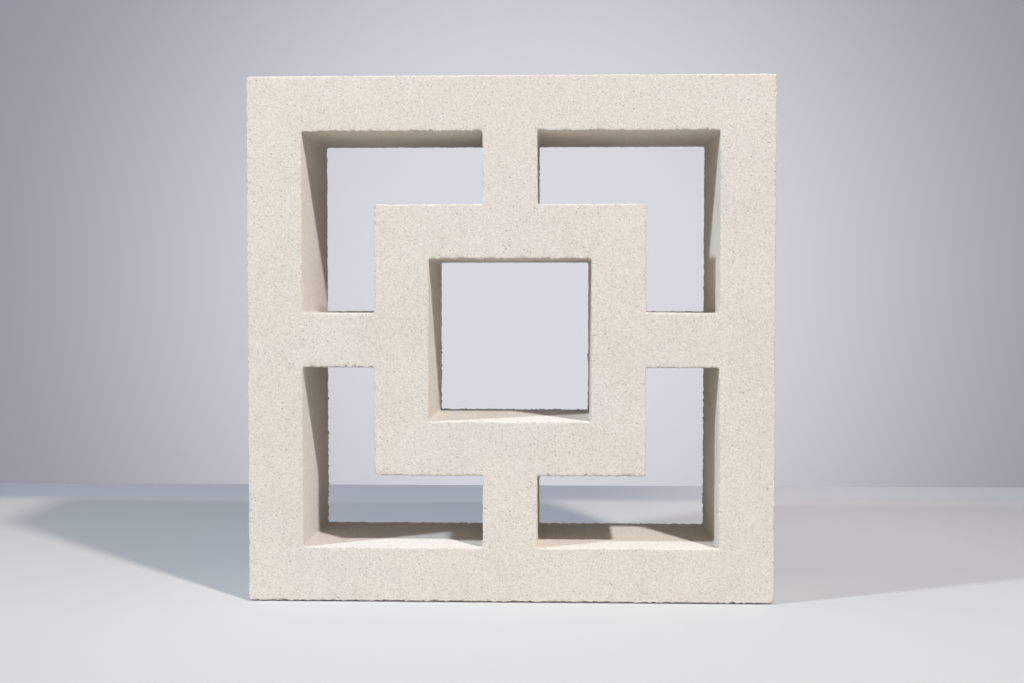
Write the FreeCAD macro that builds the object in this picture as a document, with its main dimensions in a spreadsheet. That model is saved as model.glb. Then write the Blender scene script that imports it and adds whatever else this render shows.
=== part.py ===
"""Square concrete screen block: an outer frame, a square ring in its middle and four bridges between them.

The block is cast in one piece, so it is one solid. It stands on its bed face with +Z up, its openings run
through it along Y, and the origin is the centre of the bed face. Lengths are in millimetres.
"""

import FreeCAD
import Part
import Sketcher

import os

# Driving dimensions: name, value, what it measures.
DIMENSIONS = [
    ("block_width", 300.0, "overall width, across the head faces"),
    ("block_height", 300.0, "overall height, from bed face to bed face"),
    ("block_depth", 90.0, "thickness of the block, the length of its openings"),
    ("frame_wall", 31.5, "width of the four outer frame members, seen from the front"),
    ("ring_size", 154.5, "outside size of the square ring"),
    ("ring_wall", 31.0, "width of the ring's four sides"),
    ("bridge_width", 31.0, "width of the bridges from ring to frame"),
    ("outer_corner_radius", 1.5, "rounding of the four outside corners along the depth"),
    ("ring_corner_radius", 1.5, "rounding of the ring's four outside corners along the depth"),
    ("arris_radius", 0.8, "rounding of every arris round the front and back faces"),
]
FLAT = 1e-4  # two coordinates closer than this are the same


def dimension_sheet(doc):
    """The spreadsheet that every size is bound to."""
    sheet = doc.addObject("Spreadsheet::Sheet", "sizes")
    for row, (name, value, meaning) in enumerate(DIMENSIONS, start=1):
        sheet.set(f"A{row}", name)
        sheet.set(f"B{row}", str(value))
        sheet.set(f"C{row}", meaning)
        sheet.setAlias(f"B{row}", name)
    doc.recompute()
    return sheet


def origin_plane(body, role):
    """One of the body's own origin planes, by its role."""
    return next(feature for feature in body.Origin.OriginFeatures if feature.Role == role)


def face_sketch(body, name):
    """An empty sketch on the block's middle plane: its x is the block's X, its y the block's Z."""
    sketch = body.newObject("Sketcher::SketchObject", name)
    sketch.AttachmentSupport = [(origin_plane(body, "XZ_Plane"), "")]
    sketch.MapMode = "FlatFace"
    return sketch


def closed_profile(sketch, corners):
    """A closed outline of level and upright lines through the corners."""
    count = len(corners)
    points = [FreeCAD.Vector(x, z, 0) for x, z in corners]
    for i in range(count):
        start, end = points[i], points[(i + 1) % count]
        sketch.addGeometry(Part.LineSegment(start, end), False)
        level = abs(start.y - end.y) < FLAT
        sketch.addConstraint(Sketcher.Constraint("Horizontal" if level else "Vertical", i))
    for i in range(count):
        sketch.addConstraint(Sketcher.Constraint("Coincident", i, 2, (i + 1) % count, 1))


def bind_distance(sketch, name, direction, line, formula):
    """Sets how far a line's first point lies from the sketch's origin, across or up, from the sheet."""
    index = sketch.addConstraint(Sketcher.Constraint(direction, -1, 1, line, 1, 1.0))
    sketch.renameConstraint(index, name)
    sketch.setExpression(f"Constraints.{name}", formula)


def centred_rectangle(body, name, width, height):
    """A sketched rectangle about the block's centre, its sides given by formulas on the sheet."""
    sketch = face_sketch(body, name)
    closed_profile(sketch, [(-1, -1), (1, -1), (1, 1), (-1, 1)])
    bind_distance(sketch, "right", "DistanceX", 2, f"({width}) / 2")
    bind_distance(sketch, "top", "DistanceY", 2, f"({height}) / 2")
    sketch.addConstraint(Sketcher.Constraint("Symmetric", 0, 1, 2, 1, -1, 1))
    return sketch


def corner_outline(body):
    """The angle-shaped opening between frame, ring and two bridges, in the upper right quarter."""
    sketch = face_sketch(body, "corner_outline")
    closed_profile(sketch, [(1, 3), (3, 3), (3, 1), (2, 1), (2, 2), (1, 2)])
    bind_distance(sketch, "bridge_side", "DistanceX", 0, "sizes.bridge_width / 2")
    bind_distance(sketch, "frame_side", "DistanceX", 1, "sizes.block_width / 2 - sizes.frame_wall")
    bind_distance(sketch, "frame_top", "DistanceY", 1, "sizes.block_height / 2 - sizes.frame_wall")
    bind_distance(sketch, "bridge_top", "DistanceY", 2, "sizes.bridge_width / 2")
    bind_distance(sketch, "ring_side", "DistanceX", 4, "sizes.ring_size / 2")
    bind_distance(sketch, "ring_top", "DistanceY", 4, "sizes.ring_size / 2")
    return sketch


def through_opening(body, name, sketch):
    """A pocket right through the block, cut both ways from the middle plane."""
    pocket = body.newObject("PartDesign::Pocket", name)
    pocket.Profile = sketch
    pocket.Type = "ThroughAll"
    pocket.SideType = "Symmetric"
    return pocket


def mirrored_to_four(doc, body, pocket):
    """The corner opening, repeated in the other three quarters."""
    mirrors = []
    for name, role in (("side_mirror", "YZ_Plane"), ("top_mirror", "XY_Plane")):
        mirror = body.newObject("PartDesign::Mirrored", name)
        mirror.MirrorPlane = (origin_plane(body, role), [""])
        mirrors.append(mirror)
    quarters = body.newObject("PartDesign::MultiTransform", "corner_openings")
    quarters.Originals = [pocket]
    quarters.Transformations = mirrors
    body.Tip = quarters
    doc.recompute()
    return quarters


def corner_edges(shape, width, height):
    """Names of the edges along the depth at the corners of a centred rectangle."""
    names = []
    for number, edge in enumerate(shape.Edges, start=1):
        box = edge.BoundBox
        along_depth = box.XLength < FLAT and box.ZLength < FLAT
        at_side = abs(abs(box.XMin) - width / 2) < FLAT
        at_top = abs(abs(box.ZMin) - height / 2) < FLAT
        if along_depth and at_side and at_top:
            names.append(f"Edge{number}")
    return names


def face_edges(shape):
    """Names of the edges that lie in the front or the back face."""
    edges = enumerate(shape.Edges, start=1)
    return [f"Edge{number}" for number, edge in edges if edge.BoundBox.YLength < FLAT]


def rounded(doc, body, name, base, edges, radius):
    """A fillet of one radius along the named edges of the last feature."""
    fillet = body.newObject("PartDesign::Fillet", name)
    fillet.Base = (base, edges)
    fillet.setExpression("Radius", f"sizes.{radius}")
    body.Tip = fillet
    doc.recompute()
    return fillet


def screen_block(doc, sheet):
    """The whole block, modelled about its own centre and then stood on its bed face."""
    body = doc.addObject("PartDesign::Body", "screen_block")
    slab = body.newObject("PartDesign::Pad", "slab")
    slab.Profile = centred_rectangle(body, "block_outline", "sizes.block_width", "sizes.block_height")
    slab.SideType = "Symmetric"
    slab.setExpression("Length", "sizes.block_depth")
    doc.recompute()

    ring_inside = "sizes.ring_size - 2 * sizes.ring_wall"
    centre_outline = centred_rectangle(body, "centre_outline", ring_inside, ring_inside)
    through_opening(body, "centre_opening", centre_outline)
    doc.recompute()
    corner = through_opening(body, "corner_opening", corner_outline(body))
    doc.recompute()
    solid = mirrored_to_four(doc, body, corner)

    # The openings' inner corners stay sharp, as the mould's square cores leave them.
    for name, size, radius in (
        ("ring_corners", (sheet.ring_size, sheet.ring_size), "ring_corner_radius"),
        ("outside_corners", (sheet.block_width, sheet.block_height), "outer_corner_radius"),
    ):
        solid = rounded(doc, body, name, solid, corner_edges(solid.Shape, *size), radius)
    rounded(doc, body, "arrises", solid, face_edges(solid.Shape), "arris_radius")

    body.setExpression("Placement.Base.z", "sizes.block_height / 2")
    doc.recompute()
    return body


def check(doc, bodies):
    """Stops the build if a feature failed or a piece isn't one sound solid."""
    for item in doc.Objects:
        if "Invalid" in item.State or "Error" in item.State:
            raise RuntimeError(f"{item.Label} failed: {item.State}")
    for body in bodies:
        shape = body.Shape
        if shape.isNull() or not shape.isValid() or len(shape.Solids) != 1:
            raise RuntimeError(f"{body.Label} is not one valid solid")
        box = shape.BoundBox
        print(
            f"{body.Label}: {box.XLength:.2f} x {box.YLength:.2f} x {box.ZLength:.2f} mm,"
            f" z from {box.ZMin:.2f}, {shape.Volume / 1e6:.4f} litres, {len(shape.Faces)} faces"
        )


def main():
    doc = FreeCAD.newDocument("screen_block_model")
    sheet = dimension_sheet(doc)
    bodies = [screen_block(doc, sheet)]
    check(doc, bodies)
    os.makedirs("parts", exist_ok=True)
    for body in bodies:
        body.Shape.exportStep(f"parts/{body.Label}.step")


main()
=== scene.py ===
"""Cast concrete screen block with worn arrises, its concrete, and the plain studio that shows it.

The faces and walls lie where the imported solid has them. The arrises are rounded and crumbled by moving
the mesh, on the block's outside only inwards, so the block keeps its size. Lengths are in metres.
"""

import math

import bmesh
import bpy
import numpy as np
from bpy.props import FloatProperty, FloatVectorProperty, IntProperty, PointerProperty
from mathutils import Euler, Matrix, Vector, noise


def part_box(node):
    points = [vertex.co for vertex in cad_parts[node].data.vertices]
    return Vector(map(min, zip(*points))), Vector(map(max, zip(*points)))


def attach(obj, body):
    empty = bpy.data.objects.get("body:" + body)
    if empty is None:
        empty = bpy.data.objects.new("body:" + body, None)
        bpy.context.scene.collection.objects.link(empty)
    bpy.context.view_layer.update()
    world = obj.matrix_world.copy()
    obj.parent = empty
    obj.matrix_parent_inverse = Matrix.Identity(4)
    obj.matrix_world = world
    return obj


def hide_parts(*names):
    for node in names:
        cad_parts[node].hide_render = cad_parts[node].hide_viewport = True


bl_info = {
    "name": "Cast screen block",
    "version": (1, 0, 0),
    "blender": (4, 5, 0),
    "location": "View3D > Sidebar > Screen block",
    "description": "Models a cast concrete screen block with worn arrises and shows it in a plain studio",
    "category": "Object",
}

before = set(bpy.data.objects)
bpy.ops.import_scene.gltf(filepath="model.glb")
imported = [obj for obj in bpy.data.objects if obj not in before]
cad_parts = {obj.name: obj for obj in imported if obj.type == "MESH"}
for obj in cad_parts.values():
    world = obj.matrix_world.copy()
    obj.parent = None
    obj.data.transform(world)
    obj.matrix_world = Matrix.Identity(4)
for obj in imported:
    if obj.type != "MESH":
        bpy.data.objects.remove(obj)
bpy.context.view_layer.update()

MM = 0.001
TINY = 1e-6
QUARTER_TURN = math.radians(90.0)

BLOCK_LOW, BLOCK_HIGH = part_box("screen_block")
BLOCK_SIZE = BLOCK_HIGH - BLOCK_LOW
BLOCK_MIDDLE = (BLOCK_LOW + BLOCK_HIGH) / 2
HALF_WIDTH = BLOCK_SIZE.x / 2
HALF_DEPTH = BLOCK_SIZE.y / 2

# How far the rows of faces beside an arris lie from it, and into how many rows the wall between is cut.
ARRIS_ROWS = (0.4 * MM, 0.9 * MM, 1.6 * MM, 2.8 * MM)
ARRIS_REACH = ARRIS_ROWS[-1]
WALL_ROWS = 3
# Faces that meet at more than this angle are shaded with a sharp edge between them.
SHARP_ANGLE = math.radians(65.0)

# The outline's parts are numbered: the outside, then 1 for a corner opening and 2 for the centre one.
OUTSIDE = 0

# Roundings: how much they change along an arris, and the share of the usual one that the bed has.
RADIUS_CHANGE = 0.25
BED_ARRIS = 0.4

# Chips: an arris chips where the noise is over a start, which is lower on soffits and higher on sills.
CHIP_START = 0.25
CHIP_START_FACING = 0.2
# How much small bites and wide clusters add to the noise, and how many chips wide a cluster is.
CHIP_BITES = 0.6
CHIP_CLUSTERS = 0.4
CLUSTER_WIDTH = 4.0

# Crumble: how strong it is, where 1 is an opening's upright wall.
SILL_CRUMBLE = 0.6
SOFFIT_CRUMBLE_FRONT = 1.7
SOFFIT_CRUMBLE_BACK = 0.7
OUTSIDE_CRUMBLE = 1.5
# The fine part's share of the coarse one, and how fast both fade away from the arris.
FINE_CRUMBLE = 0.8
CRUMBLE_FADE = 1.5

# Burr: full on the low walls that face the block's middle, and weaker elsewhere, least on soffits.
# Its rise is added to the noise of the teeth.
BURR_ELSEWHERE = 0.45
BURR_FACING = 0.3
BURR_RISE = 0.15

# Bed wear: its usual share of the setting, how much that changes, and its limits.
BED_USUAL = 0.75
BED_CHANGE = 0.5
BED_LEAST, BED_MOST = 0.35, 1.1

# How far one seed's noise lies from the next one's.
SEED_STEPS = (3.17, 1.73, 2.39)
# Radius of the lamps, which softens their shadows.
LAMP_RADIUS = 0.04


def length_setting(name, default, description):
    """A setting for a length."""
    return FloatProperty(name=name, description=description, default=default, unit="LENGTH", precision=5)


def colour_setting(name, default, description):
    """A setting for a colour."""
    return FloatVectorProperty(
        name=name, description=description, default=default, subtype="COLOR", min=0.0, max=1.0
    )


def place_setting(name, default, description):
    """A setting for a place in the scene."""
    return FloatVectorProperty(name=name, description=description, default=default, subtype="TRANSLATION")


def angle_setting(name, degrees, description):
    """A setting for an angle."""
    return FloatProperty(name=name, description=description, default=math.radians(degrees), subtype="ANGLE")


def power_setting(name, default, description):
    """A setting for a lamp's power."""
    return FloatProperty(name=name, description=description, default=default, unit="POWER")


class CastingSizes(bpy.types.PropertyGroup):
    """Sizes of the block's members and of the wear along its arrises."""

    frame_wall: length_setting("Frame wall", 31.5 * MM, "Width of the outer frame's members")
    ring_size: length_setting("Ring size", 154.5 * MM, "Outside size of the square ring")
    ring_wall: length_setting("Ring wall", 31.0 * MM, "Width of the ring's sides")
    bridge_width: length_setting("Bridge width", 31.0 * MM, "Width of the bridges from ring to frame")
    corner_radius: length_setting(
        "Corner radius", 1.5 * MM, "Rounding of the outside corners and the ring's corners"
    )
    worn_corner_radius: length_setting(
        "Worn corner radius", 2.7 * MM, "Rounding of the lower corners that are more worn"
    )
    inner_radius: length_setting("Inner radius", 1.2 * MM, "Rounding of the openings' inner corners")
    arris_radius: length_setting("Arris radius", 0.65 * MM, "Usual rounding of an arris")
    chip_depth: length_setting("Chip depth", 1.9 * MM, "How much a chip adds to the rounding of an arris")
    chip_width: length_setting("Chip width", 2.4 * MM, "Usual width of a chip along an arris")
    crumble_depth: length_setting("Crumble depth", 0.30 * MM, "Height of the sandy crumble beside an arris")
    crumble_width: length_setting("Crumble width", 2.2 * MM, "Size of the sandy crumble")
    tooth_depth: length_setting(
        "Tooth depth", 0.95 * MM, "Height of the ragged burr round the back of the openings"
    )
    tooth_width: length_setting("Tooth width", 1.2 * MM, "Size of the burr's teeth")
    bed_wear: length_setting("Bed wear", 1.05 * MM, "How far the arrises of the bed face are worn up")
    column_width: length_setting("Column width", 0.7 * MM, "Width of the mesh's columns along an arris")
    seed: IntProperty(name="Seed", description="Picks another set of chips", default=7, min=0)


class ConcreteLook(bpy.types.PropertyGroup):
    """Colours and grain of the cast concrete."""

    paste: colour_setting("Paste", (0.750, 0.700, 0.645), "Usual colour of the cement and fine sand")
    paste_warm: colour_setting("Warm paste", (0.755, 0.695, 0.620), "Colour of the warmer patches")
    hole_shade: colour_setting("Pinhole shade", (0.44, 0.39, 0.34), "Colour down in the pinholes")
    pale_grain: colour_setting("Pale grain", (0.84, 0.80, 0.75), "Colour of the pale sand grains")
    grain_size: length_setting("Grain size", 0.75 * MM, "Size of the sandy grain")
    hole_spacing: length_setting("Pinhole spacing", 2.0 * MM, "Distance between pinholes")
    patch_size: length_setting("Patch size", 35.0 * MM, "Size of the slow changes of shade")


class StudioLook(bpy.types.PropertyGroup):
    """Floor, backdrop, lamps and camera."""

    floor: colour_setting("Floor", (0.535, 0.514, 0.48), "Colour of the floor")
    # Painted shade: the floor is darker and less blue on the block's left.
    floor_left_shade: colour_setting(
        "Left floor", (0.50, 0.467, 0.417), "Colour of the floor beside the block on its left"
    )
    # Painted shadow: the floor's colour at its far end.
    floor_far_shadow: colour_setting("Far floor", (0.34, 0.335, 0.335), "Colour of the floor at its far end")
    # Painted light: a glow on the floor that only the camera sees, more behind the block on the right and
    # all round beyond the lamps' beams.
    floor_painted_light: colour_setting(
        "Floor lift", (0.07, 0.095, 0.145), "What the floor shows the camera even in shadow"
    )
    floor_painted_light_right: colour_setting(
        "Floor lift right", (0.17, 0.16, 0.215), "The same, behind the block to the right"
    )
    floor_painted_light_far: colour_setting(
        "Floor lift far", (0.44, 0.44, 0.46), "The same, all round beyond the lamps' beams"
    )
    backdrop_middle: colour_setting(
        "Backdrop middle", (0.69, 0.69, 0.75), "Colour of the backdrop behind the block"
    )
    backdrop_rim: colour_setting(
        "Backdrop rim", (0.30, 0.305, 0.355), "Colour of the backdrop away from the middle"
    )
    backdrop_light: FloatProperty(
        name="Backdrop light",
        description="Share of the backdrop's glow that lights the block",
        default=0.55,
        subtype="FACTOR",
        min=0.0,
        max=1.0,
    )
    fill: colour_setting("Fill", (0.187, 0.169, 0.144), "Light from all round")
    key_power: power_setting("Key power", 42.8, "Power of the lamp to the right")
    key_colour: colour_setting("Key colour", (1.0, 0.976, 0.971), "Colour of the lamp to the right")
    key_beam: angle_setting("Key beam", 90.0, "Width of the beam of the lamp to the right")
    key_place: place_setting("Key place", (0.47, -0.73, 1.03), "Where the lamp to the right stands")
    key_aim: place_setting("Key aim", (0.06, 0.05, 0.04), "Where the lamp to the right points")
    side_power: power_setting("Side power", 32.6, "Power of the lamp to the left")
    side_colour: colour_setting("Side colour", (0.76, 0.872, 1.0), "Colour of the lamp to the left")
    side_beam: angle_setting("Side beam", 82.0, "Width of the beam of the lamp to the left")
    side_place: place_setting("Side place", (-0.73, -0.465, 0.78), "Where the lamp to the left stands")
    side_aim: place_setting("Side aim", (0.0, 0.28, 0.03), "Where the lamp to the left points")
    camera_place: place_setting("Camera place", (0.0287, -0.8517, 0.1752), "Where the camera stands")
    camera_pitch: angle_setting("Camera pitch", 1.83, "How far it looks down")
    camera_yaw: angle_setting("Camera yaw", 1.95, "How far it looks left")
    camera_lens: FloatProperty(
        name="Camera lens", description="Focal length in mm", default=50.0, unit="CAMERA"
    )
    camera_sensor: FloatProperty(
        name="Camera sensor", description="Width of the sensor in mm", default=36.0, unit="CAMERA"
    )


class Wire:
    """A shader value in an expression: arithmetic on it adds Math nodes."""

    def __init__(self, shader, socket):
        self.shader = shader
        self.socket = socket

    def __add__(self, other):
        return self.shader.math("ADD", self, other)

    def __sub__(self, other):
        return self.shader.math("SUBTRACT", self, other)

    def __rsub__(self, other):
        return self.shader.math("SUBTRACT", other, self)

    def __mul__(self, other):
        return self.shader.math("MULTIPLY", self, other)

    def __truediv__(self, other):
        return self.shader.math("DIVIDE", self, other)

    __radd__ = __add__
    __rmul__ = __mul__

    def clamped(self):
        """The value held between 0 and 1."""
        return self.shader.math("ADD", self, 0.0, use_clamp=True)


class Shader:
    """Builds the nodes of one material, lamp or world."""

    def __init__(self, owner):
        owner.use_nodes = True
        self.tree = owner.node_tree
        self.tree.nodes.clear()

    def node(self, kind, settings=None, inputs=None, output=0):
        """Adds a node with its settings, then its sockets' values or links, and returns one output."""
        made = self.tree.nodes.new(kind)
        for name, value in (settings or {}).items():
            setattr(made, name, value)
        for name, value in (inputs or {}).items():
            if isinstance(value, Wire):
                self.tree.links.new(value.socket, made.inputs[name])
            else:
                made.inputs[name].default_value = value
        return Wire(self, made.outputs[output]) if made.outputs else None

    def math(self, operation, first, second, use_clamp=False):
        """A value worked out from two others."""
        settings = {"operation": operation, "use_clamp": use_clamp}
        return self.node("ShaderNodeMath", settings, {0: first, 1: second})

    def mixed(self, factor, first, second):
        """A colour between two colours."""
        inputs = {"Factor": factor, "A": first, "B": second}
        return self.node("ShaderNodeMix", {"data_type": "RGBA"}, inputs, "Result")

    def scaled(self, vector, factor):
        """A colour or vector times a number."""
        return self.node("ShaderNodeVectorMath", {"operation": "SCALE"}, {0: vector, "Scale": factor})

    def reach(self, vector):
        """How long a vector is."""
        return self.node("ShaderNodeVectorMath", {"operation": "LENGTH"}, {0: vector}, "Value")

    def axis(self, vector, name):
        """One of a vector's X, Y and Z."""
        return self.node("ShaderNodeSeparateXYZ", {}, {"Vector": vector}, name)

    def channel(self, colour, name):
        """One of a colour's Red, Green and Blue."""
        return self.node("ShaderNodeSeparateColor", {}, {"Color": colour}, name)

    def ramp(self, value, low, high):
        """A soft step from 0 at low to 1 at high."""
        inputs = {"Value": value, "From Min": low, "From Max": high}
        return self.node("ShaderNodeMapRange", {"interpolation_type": "SMOOTHSTEP"}, inputs)

    def mask(self, value, level, slope):
        """0 up to a level of the value, then up to 1 at a slope."""
        return ((value - level) * slope).clamped()

    def noise(self, place, size, detail=2.0, roughness=0.5):
        """Cloudy noise from 0 to 1 whose patches are about that size."""
        inputs = {"Vector": place, "Scale": 1.0 / size, "Detail": detail, "Roughness": roughness}
        return self.node("ShaderNodeTexNoise", {}, inputs, "Fac")

    def cells(self, place, size, output):
        """The Distance from the nearest of many scattered points about that far apart, or its Color."""
        return self.node("ShaderNodeTexVoronoi", {}, {"Vector": place, "Scale": 1.0 / size}, output)


def solid_colour(values):
    """A colour with the alpha that a socket wants."""
    return (*values, 1.0)


def member_lines(sizes):
    """How far the edges of bridge, ring and frame lie from the block's middle, from the inside out."""
    ring = sizes.ring_size / 2
    return sizes.bridge_width / 2, ring - sizes.ring_wall, ring, HALF_WIDTH - sizes.frame_wall


def in_opening(place, sizes):
    """Whether a point of the front lies in one of the five openings."""
    bridge, ring_inside, ring, frame_inside = member_lines(sizes)
    across, up = abs(place.x - BLOCK_MIDDLE.x), abs(place.z - BLOCK_MIDDLE.z)
    far, near = max(across, up), min(across, up)
    return far < ring_inside or (ring < far < frame_inside and near > bridge)


def cut(bm, place, normal):
    """Cuts every face that a plane crosses."""
    geometry = bm.verts[:] + bm.edges[:] + bm.faces[:]
    bmesh.ops.bisect_plane(bm, geom=geometry, plane_co=place, plane_no=normal)


def in_plane(item, y):
    """Whether an edge or a face lies in the upright plane at y."""
    return all(abs(vertex.co.y - y) < TINY for vertex in item.verts)


def sharp_block(bm, sizes):
    """The block with sharp edges: a sheet cut along the members' edges, opened and extruded."""
    stand = Matrix.Translation((BLOCK_MIDDLE.x, BLOCK_LOW.y, BLOCK_MIDDLE.z))
    stand = stand @ Matrix.Rotation(QUARTER_TURN, 4, "X")
    stand = stand @ Matrix.Diagonal((BLOCK_SIZE.x, BLOCK_SIZE.z, 1.0, 1.0))
    bmesh.ops.create_grid(bm, x_segments=1, y_segments=1, size=0.5, matrix=stand)
    for line in member_lines(sizes):
        for axis in (Vector((1, 0, 0)), Vector((0, 0, 1))):
            cut(bm, BLOCK_MIDDLE + axis * line, axis)
            cut(bm, BLOCK_MIDDLE - axis * line, axis)
    openings = [face for face in bm.faces if in_opening(face.calc_center_median(), sizes)]
    bmesh.ops.delete(bm, geom=openings, context="FACES")
    grown = bmesh.ops.extrude_face_region(bm, geom=bm.faces[:])["geom"]
    back = [item for item in grown if isinstance(item, bmesh.types.BMVert)]
    bmesh.ops.translate(bm, verts=back, vec=(0, BLOCK_SIZE.y, 0))


def add_arris_rows(bm):
    """Rows of faces beside every arris, on the front, the back and the walls. Leaves the middles open."""
    for y in (BLOCK_LOW.y, BLOCK_HIGH.y):
        middle = [face for face in bm.faces if in_plane(face, y)]
        for inner, outer in zip((0.0,) + ARRIS_ROWS, ARRIS_ROWS):
            bmesh.ops.inset_region(
                bm, faces=middle, thickness=outer - inner, use_boundary=True, use_even_offset=True
            )
        bmesh.ops.delete(bm, geom=middle, context="FACES")
    along = Vector((0, 1, 0))
    for row in ARRIS_ROWS:
        cut(bm, BLOCK_LOW + along * row, along)
        cut(bm, BLOCK_HIGH - along * row, along)
    wall = BLOCK_SIZE.y - 2 * ARRIS_REACH
    for number in range(1, WALL_ROWS):
        cut(bm, BLOCK_LOW + along * (ARRIS_REACH + wall * number / WALL_ROWS), along)


def add_columns(bm, sizes):
    """Divides the rows into narrow columns along the arrises, as many on each row of one member."""
    lines = member_lines(sizes)
    marks = sorted([-line for line in lines] + list(lines))
    marks = [-HALF_WIDTH] + marks + [HALF_WIDTH]
    spans = list(zip(marks, marks[1:]))
    shortest = min(end - start for start, end in spans) / 2
    groups = {}
    for edge in bm.edges:
        start, end = (vertex.co - BLOCK_MIDDLE for vertex in edge.verts)
        if abs(start.y - end.y) > TINY or edge.calc_length() < shortest:
            continue
        place = (start.x + end.x) / 2 if abs(start.x - end.x) > TINY else (start.z + end.z) / 2
        span = next(high - low for low, high in spans if low < place < high)
        cuts = round(span / sizes.column_width) - 1
        groups.setdefault(cuts, []).append(edge)
    for cuts, edges in groups.items():
        bmesh.ops.subdivide_edges(bm, edges=edges, cuts=cuts, use_grid_fill=True)


def fill_faces(bm):
    """Closes the open middles of the front and the back."""
    for y, outwards in ((BLOCK_LOW.y, -1), (BLOCK_HIGH.y, 1)):
        rim = [edge for edge in bm.edges if edge.is_boundary and in_plane(edge, y)]
        bmesh.ops.triangle_fill(bm, edges=rim, use_beauty=True, normal=(0, outwards, 0))


def nearest_walls(far, near, sizes):
    """For each point: which part of the outline it is by, and the two walls nearest to it there.

    A wall is given by the height over it, positive in the air, and by its way along far and near.
    """
    bridge, ring_inside, ring, frame_inside = member_lines(sizes)
    ways = np.array([[1.0, 0.0], [-1.0, 0.0], [0.0, 1.0], [0.0, -1.0]])
    corner = np.array([far - ring, frame_inside - far, near - bridge, frame_inside - near])
    order = corner.argsort(axis=0)
    corner = np.sort(corner, axis=0)
    outside = far - HALF_WIDTH
    no_wall = np.full(len(far), BLOCK_SIZE.x)
    part = np.array([outside, corner[0], ring_inside - far]).argmax(axis=0)
    first = np.choose(part, [outside, corner[0], ring_inside - far])
    second = np.choose(part, [no_wall, corner[1], ring_inside - near])
    first_way = ways[np.choose(part, [0, order[0], 1])].T
    second_way = ways[np.choose(part, [2, order[1], 3])].T
    return part, first, first_way, second, second_way


class Spots:
    """The mesh's points and what they lie by, in arrays with one value for each point.

    A point's far and near are the greater and the lesser of its distances from the block's middle,
    sideways and up or down. It is upright where the greater one is up or down.
    """

    def __init__(self, bm, sizes):
        self.places = np.array([vertex.co for vertex in bm.verts]) - np.array(BLOCK_MIDDLE)
        self.x, self.y, self.z = self.places.T
        across, up = np.abs(self.x), np.abs(self.z)
        self.upright = up > across
        self.far, self.near = np.maximum(across, up), np.minimum(across, up)
        walls = nearest_walls(self.far, self.near, sizes)
        self.part, self.wall, self.wall_way, self.next_wall, self.next_way = walls
        self.face = np.abs(self.y) - HALF_DEPTH

        # Which way the wall faces, 1 up and -1 down. It fades out on the diagonals, where walls meet.
        self.from_corner = np.clip((self.far - self.near) / sizes.worn_corner_radius, 0.0, 1.0)
        facing = np.where(self.upright, self.wall_way[0], self.wall_way[1]) * np.sign(self.z)
        self.facing = facing * self.from_corner
        downward = np.maximum(-self.facing, 0.0)
        self.sill = np.maximum(self.facing, 0.0)
        self.soffit = downward * (self.part != OUTSIDE)
        self.bed = downward * (self.part == OUTSIDE)

        # How far from the arris a point is, from 0 to 1, and the nearest point on the arris.
        from_arris = np.maximum(-self.wall, -self.face)
        self.by_arris = from_arris < ARRIS_REACH - TINY
        self.reach = np.clip(from_arris / ARRIS_REACH, 0.0, 1.0)
        far_arris = self.far - self.wall_way[0] * self.wall
        near_arris = self.near - self.wall_way[1] * self.wall
        arris_x, arris_z = self.turned_back(far_arris, near_arris)
        self.arrises = np.stack([arris_x, np.sign(self.y) * HALF_DEPTH, arris_z], axis=1)

    def turned_back(self, far, near):
        """The points' x and z from their far and near."""
        x = np.where(self.upright, near, far) * np.sign(self.x)
        z = np.where(self.upright, far, near) * np.sign(self.z)
        return x, z

    def noise(self, places, size, seed):
        """Smooth noise from about -1 to 1 by the arrises, with features of about that size, else 0."""
        shift = Vector([seed * step for step in SEED_STEPS])
        values = np.zeros(len(places))
        values[self.by_arris] = [
            noise.noise(Vector(place) / size + shift) for place in places[self.by_arris]
        ]
        return values


def rounded_corner(first, second, radius):
    """Squeezes points by two planes, given by their heights over each, into a rounding between them."""
    u, v = first + radius, second + radius
    moved = (u > 0) & (v > 0)
    scale = np.where(moved, np.maximum(u, v) / np.maximum(np.hypot(u, v), TINY), 1.0)
    return np.where(moved, u * scale - radius, first), np.where(moved, v * scale - radius, second)


def worn_radius(spots, sizes):
    """Rounding of the arris by each point. Chips add to it, but not on the bed.

    Chips are picked by the nearest point on the arris, so that both sides of it agree.
    """
    slow = spots.noise(spots.arrises, CLUSTER_WIDTH * sizes.chip_width, sizes.seed)
    quick = spots.noise(spots.arrises, sizes.chip_width, sizes.seed + 1)
    bite = spots.noise(spots.arrises, sizes.chip_width / 2, sizes.seed + 2)
    start = CHIP_START + CHIP_START_FACING * spots.facing
    chip = np.clip(quick + CHIP_BITES * bite + CHIP_CLUSTERS * slow - start, 0.0, 1.0)
    usual = (1.0 - (1.0 - BED_ARRIS) * spots.bed) * sizes.arris_radius
    return usual * (1.0 + RADIUS_CHANGE * slow) + sizes.chip_depth * chip * (1.0 - spots.bed)


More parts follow.
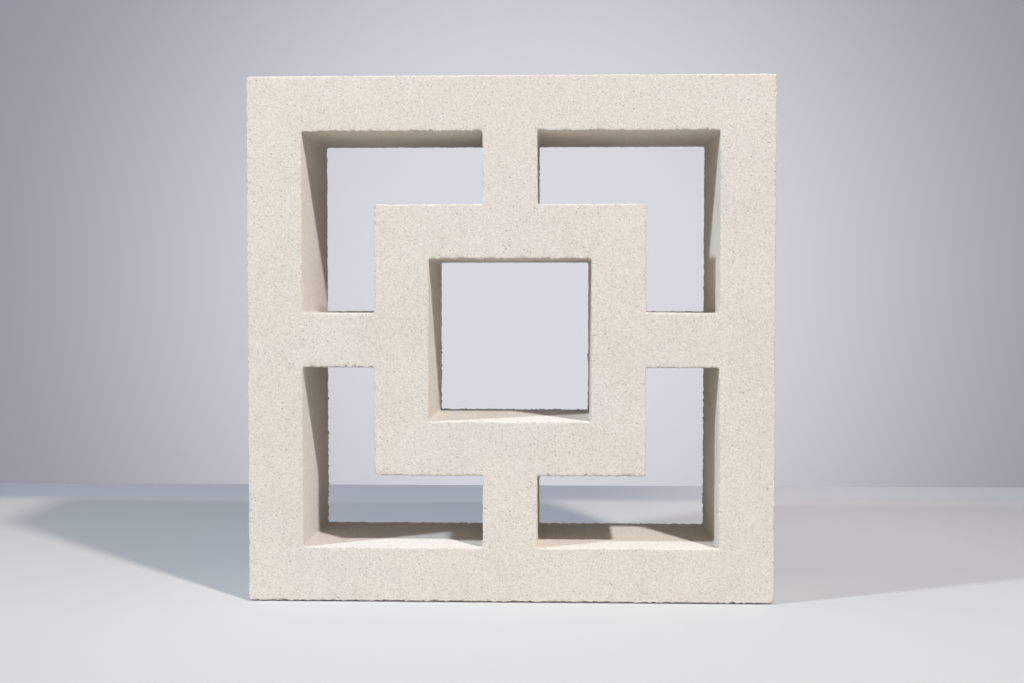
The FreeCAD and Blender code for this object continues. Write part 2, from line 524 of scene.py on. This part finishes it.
def crumble_height(spots, sizes):
    """How far the points by an arris stand out of their wall: a sandy crumble, and a burr at the back."""
    coarse = spots.noise(spots.places, sizes.crumble_width, sizes.seed + 3)
    fine = spots.noise(spots.places, sizes.crumble_width / 2, sizes.seed + 4)
    teeth = spots.noise(spots.arrises, sizes.tooth_width, sizes.seed + 5)
    on_soffit = np.where(spots.y < 0, SOFFIT_CRUMBLE_FRONT, SOFFIT_CRUMBLE_BACK)
    sandy = 1.0 + (SILL_CRUMBLE - 1.0) * spots.sill + (on_soffit - 1.0) * spots.soffit
    sandy *= np.where(spots.part == OUTSIDE, OUTSIDE_CRUMBLE, 1.0)
    fade = (1.0 - spots.reach) ** CRUMBLE_FADE
    crumble = sizes.crumble_depth * sandy * fade * (coarse + FINE_CRUMBLE * fine)
    low_and_inward = (spots.wall_way.sum(axis=0) < 0) & (spots.z < 0)
    toothed = np.where(low_and_inward, 1.0, BURR_ELSEWHERE + BURR_FACING * spots.facing)
    toothed *= (spots.part != OUTSIDE) & (spots.y > 0)
    burr = sizes.tooth_depth * toothed * (1.0 - spots.reach**2) * (BURR_RISE + teeth)
    # Both fade out at the openings' inner corners, where two walls would crumble into each other.
    return (crumble + burr) * np.clip(spots.next_wall / sizes.crumble_width, 0.0, 1.0)


def bed_lift(spots, sizes):
    """How far the points by the bed's arrises are worn up."""
    share = BED_USUAL + BED_CHANGE * spots.noise(spots.arrises, sizes.chip_width, sizes.seed + 6)
    share += BED_CHANGE * spots.noise(spots.arrises, sizes.chip_width / 2, sizes.seed + 7)
    return sizes.bed_wear * spots.bed * (1.0 - spots.reach**2) * np.clip(share, BED_LEAST, BED_MOST)


def inner_filling(spots, radius):
    """How far points move off the two walls of an inner corner, to fill it up to a rounding.

    The filling fades out behind the wall.
    """
    short = radius - np.clip(spots.next_wall, 0.0, radius)
    scale = 1.0 - radius / np.hypot(radius, short)
    behind = np.clip(1.0 + spots.wall / ARRIS_REACH, 0.0, 1.0)
    return radius * scale * behind, short * scale * behind


def wear_arrises(bm, sizes):
    """Rounds the corners and arrises, with chips, a burr and a sandy crumble, by moving the mesh."""
    spots = Spots(bm, sizes)
    new_wall, new_face = rounded_corner(spots.wall, spots.face, worn_radius(spots, sizes))

    # The crumble goes both ways on the walls of the openings, and only inwards on the block's outside.
    crumble = crumble_height(spots, sizes)
    inwards = np.minimum(crumble, 0.0)
    wall_filling, next_move = inner_filling(spots, sizes.inner_radius)
    wall_move = new_wall - spots.wall + np.where(spots.part == OUTSIDE, inwards, crumble) + wall_filling

    # At the outer corners of the block and of the ring, both walls move.
    shared = (1.0 - spots.from_corner) * (spots.wall_way[0] > 0)
    far = spots.far + spots.wall_way[0] * wall_move + spots.next_way[0] * next_move
    near = spots.near + (spots.wall_way[1] + shared) * wall_move + spots.next_way[1] * next_move

    low, left = spots.z < 0, spots.x < 0
    outer_radius = np.where(low, sizes.worn_corner_radius, sizes.corner_radius)
    ring_radius = np.where(low & left, sizes.worn_corner_radius, sizes.corner_radius)
    for half, corner_radius in ((HALF_WIDTH, outer_radius), (sizes.ring_size / 2, ring_radius)):
        by_corner = spots.far < half + TINY
        new_far, new_near = rounded_corner(far - half, near - half, corner_radius)
        far = np.where(by_corner, new_far + half, far)
        near = np.where(by_corner, new_near + half, near)

    x, z = spots.turned_back(far, near)
    y = np.sign(spots.y) * (HALF_DEPTH + new_face + inwards)
    worn = np.stack([x, y, z + bed_lift(spots, sizes)], axis=1) + np.array(BLOCK_MIDDLE)
    for vertex, place in zip(bm.verts, worn):
        vertex.co = place


def burr_shade_band(shader, place, inside):
    """Where shade is painted along the burr round the back of the openings, which lie within inside: 1
    there and 0 elsewhere.
    """
    margin = 1.2 * MM
    band_start, band_end = 0.5, 2.2
    across = shader.math("ABSOLUTE", shader.axis(place, "X") - BLOCK_MIDDLE.x, 0.0)
    up = shader.math("ABSOLUTE", shader.axis(place, "Z") - BLOCK_MIDDLE.z, 0.0)
    within = ((inside + margin - shader.math("MAXIMUM", across, up)) / MM).clamped()
    depth = (BLOCK_HIGH.y - shader.axis(place, "Y")) / MM
    return within * (band_end - depth).clamped() * (2.0 * depth - band_start).clamped()


def concrete(look, inside):
    """Pale cast concrete: a sandy paste with patches, pits, pinholes and pale grains, and painted shade in
    the pits and pinholes, along the burr and on the upward faces.
    """
    material = bpy.data.materials.new("white_concrete_cast")
    shader = Shader(material)
    place = shader.node("ShaderNodeTexCoord", output="Object")

    # How strongly each pattern changes the brightness, stains the colour with pale grains, paints shade on
    # it and stands out in relief.
    patch_tone, grain_tone, speck_tone, top_shade_tone = 0.10, 0.47, 0.14, 0.035
    pale_stain, pit_shade_strength, hole_shade_strength, burr_shade_strength = 0.35, 0.24, 0.55, 0.6
    grain_relief, speck_relief, pit_relief = 0.6, 0.25, 0.4

    patches = shader.noise(place, look.patch_size, detail=3.0)
    warm = shader.mask(shader.noise(place, 2.3 * look.patch_size, detail=2.0), level=1 / 3, slope=3.0)
    grain = shader.noise(place, look.grain_size, detail=3.0, roughness=0.65)
    specks = shader.channel(shader.cells(place, look.grain_size, "Color"), "Green")
    pale = shader.mask(specks, level=0.88, slope=8.0)
    # Pits are small dents, darkened with painted shade.
    pits = shader.mask(shader.noise(place, 1.6 * look.grain_size, detail=1.0), level=0.57, slope=7.0)
    # Upward faces are made a little darker: painted shade that tones down the tops, which the lamps light
    # more.
    facing_up = shader.axis(shader.node("ShaderNodeTexCoord", output="Normal"), "Z")
    shaded_top = shader.mask(facing_up, level=0.5, slope=2.0)

    # A cell has a pinhole where its chance is over a level, and the wider the more it is over.
    hole_chance = shader.channel(shader.cells(place, look.hole_spacing, "Color"), "Red")
    hole_radius = shader.mask(hole_chance, level=0.4, slope=0.58)
    from_hole = shader.cells(place, look.hole_spacing, "Distance")
    hole = shader.mask(hole_radius, level=from_hole, slope=6.0)

    surface = shader.mixed(warm, solid_colour(look.paste), solid_colour(look.paste_warm))
    brightness = 1.0 + (patches - 0.5) * patch_tone + (grain - 0.5) * grain_tone
    brightness = brightness + (specks - 0.5) * speck_tone - shaded_top * top_shade_tone
    surface = shader.scaled(surface, brightness)
    surface = shader.mixed(pale * pale_stain, surface, solid_colour(look.pale_grain))
    # Painted shade along the crumbled burr round the back of the openings.
    burr = burr_shade_band(shader, place, inside)
    # Painted shade: down in the pits and pinholes, and along the burr.
    dark = (pits * pit_shade_strength + hole * hole_shade_strength + burr * burr_shade_strength).clamped()
    surface = shader.mixed(dark, surface, solid_colour(look.hole_shade))

    height = grain * grain_relief + specks * speck_relief - pits * pit_relief - hole
    bump = shader.node("ShaderNodeBump", {}, {"Strength": 0.5, "Distance": 0.3 * MM, "Height": height})
    finish = shader.node(
        "ShaderNodeBsdfPrincipled",
        {},
        {
            "Base Color": surface,
            "Roughness": 0.92,
            "Diffuse Roughness": 0.3,
            "Specular IOR Level": 0.25,
            "Normal": bump,
        },
    )
    shader.node("ShaderNodeOutputMaterial", {}, {"Surface": finish})
    return material


def new_object(name, bm):
    """An object at the origin from a finished bmesh."""
    mesh = bpy.data.meshes.new(name)
    bm.to_mesh(mesh)
    bm.free()
    made = bpy.data.objects.new(name, mesh)
    bpy.context.scene.collection.objects.link(made)
    return made


class BLOCK_OT_cast(bpy.types.Operator):
    """Models the block with its worn arrises and gives it its concrete"""

    bl_idname = "screen_block.cast"
    bl_label = "Cast block"

    def execute(self, context):
        sizes = context.scene.casting_sizes
        bm = bmesh.new()
        sharp_block(bm, sizes)
        add_arris_rows(bm)
        add_columns(bm, sizes)
        fill_faces(bm)
        bmesh.ops.recalc_face_normals(bm, faces=bm.faces[:])
        wear_arrises(bm, sizes)
        for face in bm.faces:
            face.smooth = True
        loose = [edge for edge in bm.edges if not edge.is_manifold]
        if loose:
            raise RuntimeError(f"the block has {len(loose)} open edges")
        block = new_object("screen_block_casting", bm)
        block.data.set_sharp_from_angle(angle=SHARP_ANGLE)
        block.data.materials.append(concrete(context.scene.concrete_look, member_lines(sizes)[-1]))
        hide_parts("screen_block")
        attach(block, "root")
        return {"FINISHED"}


def seen_directly(shader):
    """1 where the camera sees it, straight or in gloss or glass, and 0 where it only lights the block."""
    camera_ray = shader.node("ShaderNodeLightPath", output="Is Camera Ray")
    gloss_ray = shader.node("ShaderNodeLightPath", output="Is Glossy Ray")
    glass_ray = shader.node("ShaderNodeLightPath", output="Is Transmission Ray")
    return (camera_ray + gloss_ray + glass_ray).clamped()


def floor_finish(look):
    """Matt pale floor with painted shade, darker on its left and greyer at its far end, and painted light:
    a glow that only the camera sees lifts its shadows a little.

    Its steps lie at distances from the block's middle.
    """
    material = bpy.data.materials.new("floor_pale")
    shader = Shader(material)
    place = shader.node("ShaderNodeTexCoord", output="Object")
    across, back = shader.axis(place, "X"), shader.axis(place, "Y")
    left = shader.ramp(across, -0.12, -0.30)
    right = shader.ramp(across, 0.02, 0.25)
    not_far_right = shader.ramp(across, 0.48, 0.20)
    behind = shader.ramp(back, -0.05, 0.25)
    all_round = shader.ramp(shader.reach(place), 0.62, 1.15)
    # The far end is darker, a painted shadow that carries the block's shadow on to the floor's end, but
    # less so on the right.
    far = shader.ramp(back, 0.345, 0.385) * (1.0 - right * 0.6)

    # Painted shade on the left of the floor.
    shade = shader.mixed(left, solid_colour(look.floor), solid_colour(look.floor_left_shade))
    shade = shader.mixed(far, shade, solid_colour(look.floor_far_shadow))
    # Painted light that only the camera sees, lifting the floor's shadows.
    lift_right = solid_colour(look.floor_painted_light_right)
    lift = shader.mixed(right * behind * not_far_right, solid_colour(look.floor_painted_light), lift_right)
    lift = shader.mixed(all_round, lift, solid_colour(look.floor_painted_light_far))
    matt = shader.node("ShaderNodeBsdfDiffuse", {}, {"Color": shade})
    glow = shader.node("ShaderNodeEmission", {}, {"Color": lift, "Strength": seen_directly(shader)})
    both = shader.node("ShaderNodeAddShader", {}, {0: matt, 1: glow})
    shader.node("ShaderNodeOutputMaterial", {}, {"Surface": both})
    return material


def backdrop_finish(look, middle):
    """Softly glowing backdrop, palest at its middle."""
    material = bpy.data.materials.new("backdrop_glow")
    shader = Shader(material)
    fade_start, fade_end = 0.18, 1.07
    place = shader.node("ShaderNodeTexCoord", output="Object")
    from_middle = shader.node("ShaderNodeVectorMath", {"operation": "SUBTRACT"}, {0: place, 1: middle})
    fade = shader.ramp(shader.reach(from_middle), fade_start, fade_end)
    shade = shader.mixed(fade, solid_colour(look.backdrop_middle), solid_colour(look.backdrop_rim))
    share = look.backdrop_light + seen_directly(shader) * (1.0 - look.backdrop_light)
    glow = shader.node("ShaderNodeEmission", {}, {"Color": shade, "Strength": share})
    shader.node("ShaderNodeOutputMaterial", {}, {"Surface": glow})
    return material


def staged_sheet(name, matrix, material):
    """A flat sheet of the stage, one metre square before the matrix."""
    bm = bmesh.new()
    bmesh.ops.create_grid(bm, x_segments=1, y_segments=1, size=0.5, matrix=matrix)
    sheet = new_object(name, bm)
    sheet.data.materials.append(material)


def lamp(name, place, aim, power, shade, beam):
    """A small lamp whose beam fades out from its middle, and falls off evenly with the distance."""
    data = bpy.data.lights.new(name, "SPOT")
    data.shadow_soft_size = LAMP_RADIUS
    data.spot_size = beam
    data.spot_blend = 1.0
    data.energy = power
    data.color = shade
    shader = Shader(data)
    falloff = shader.node("ShaderNodeLightFalloff", {}, {"Strength": 1.0}, "Linear")
    glow = shader.node("ShaderNodeEmission", {}, {"Strength": falloff})
    shader.node("ShaderNodeOutputLight", {}, {"Surface": glow})
    made = bpy.data.objects.new(name, data)
    made.location = place
    made.rotation_euler = (Vector(aim) - Vector(place)).to_track_quat("-Z", "Y").to_euler()
    bpy.context.scene.collection.objects.link(made)


def studio_world(look):
    """Even light from all round, which the camera sees as the backdrop's rim."""
    world = bpy.data.worlds.new("studio_fill")
    shader = Shader(world)
    fill = shader.node("ShaderNodeBackground", {}, {"Color": solid_colour(look.fill), "Strength": 1.0})
    rim = solid_colour(look.backdrop_rim)
    seen = shader.node("ShaderNodeBackground", {}, {"Color": rim, "Strength": 1.0})
    mixed = shader.node("ShaderNodeMixShader", {}, {"Fac": seen_directly(shader), 1: fill, 2: seen})
    shader.node("ShaderNodeOutputWorld", {}, {"Surface": mixed})
    return world


def studio_camera(look):
    """The camera that looks at the block's front."""
    data = bpy.data.cameras.new("camera")
    data.lens = look.camera_lens
    data.sensor_width = look.camera_sensor
    camera = bpy.data.objects.new("camera", data)
    camera.location = look.camera_place
    camera.rotation_euler = Euler((QUARTER_TURN - look.camera_pitch, 0.0, look.camera_yaw))
    bpy.context.scene.collection.objects.link(camera)
    return camera


class BLOCK_OT_studio(bpy.types.Operator):
    """Sets up the floor, the backdrop, the lamps and the camera"""

    bl_idname = "screen_block.studio"
    bl_label = "Set up studio"

    def execute(self, context):
        look = context.scene.studio_look
        floor_front, floor_back, floor_width = -3.0, 0.46, 6.0
        backdrop_size, backdrop_centre = 8.0, Vector((-0.02, 1.6, 0.21))
        floor = Matrix.Translation((0, (floor_front + floor_back) / 2, BLOCK_LOW.z))
        floor = floor @ Matrix.Diagonal((floor_width, floor_back - floor_front, 1.0, 1.0))
        staged_sheet("floor", floor, floor_finish(look))
        backdrop = Matrix.Translation((0, backdrop_centre.y, 0)) @ Matrix.Rotation(QUARTER_TURN, 4, "X")
        backdrop = backdrop @ Matrix.Diagonal((backdrop_size, backdrop_size, 1.0, 1.0))
        staged_sheet("backdrop", backdrop, backdrop_finish(look, backdrop_centre))

        key = look.key_place, look.key_aim, look.key_power, look.key_colour, look.key_beam
        side = look.side_place, look.side_aim, look.side_power, look.side_colour, look.side_beam
        lamp("key_lamp", *key)
        lamp("side_lamp", *side)
        context.scene.world = studio_world(look)
        context.scene.camera = studio_camera(look)
        context.scene.view_settings.view_transform = "Standard"
        return {"FINISHED"}


class BLOCK_PT_panel(bpy.types.Panel):
    """The block's operators and their settings"""

    bl_idname = "BLOCK_PT_panel"
    bl_label = "Screen block"
    bl_space_type = "VIEW_3D"
    bl_region_type = "UI"
    bl_category = "Screen block"

    def draw(self, context):
        for operator, group in (
            (BLOCK_OT_cast, context.scene.casting_sizes),
            (None, context.scene.concrete_look),
            (BLOCK_OT_studio, context.scene.studio_look),
        ):
            box = self.layout.box()
            for name in group.__annotations__:
                box.prop(group, name)
            if operator:
                box.operator(operator.bl_idname)


GROUPS = {"casting_sizes": CastingSizes, "concrete_look": ConcreteLook, "studio_look": StudioLook}
CLASSES = (*GROUPS.values(), BLOCK_OT_cast, BLOCK_OT_studio, BLOCK_PT_panel)


def register():
    for cls in CLASSES:
        bpy.utils.register_class(cls)
    for name, group in GROUPS.items():
        setattr(bpy.types.Scene, name, PointerProperty(type=group))


def unregister():
    for name in GROUPS:
        delattr(bpy.types.Scene, name)
    for cls in reversed(CLASSES):
        bpy.utils.unregister_class(cls)


def main():
    register()
    bpy.ops.screen_block.cast()
    bpy.ops.screen_block.studio()


if __name__ == "__main__":
    main()
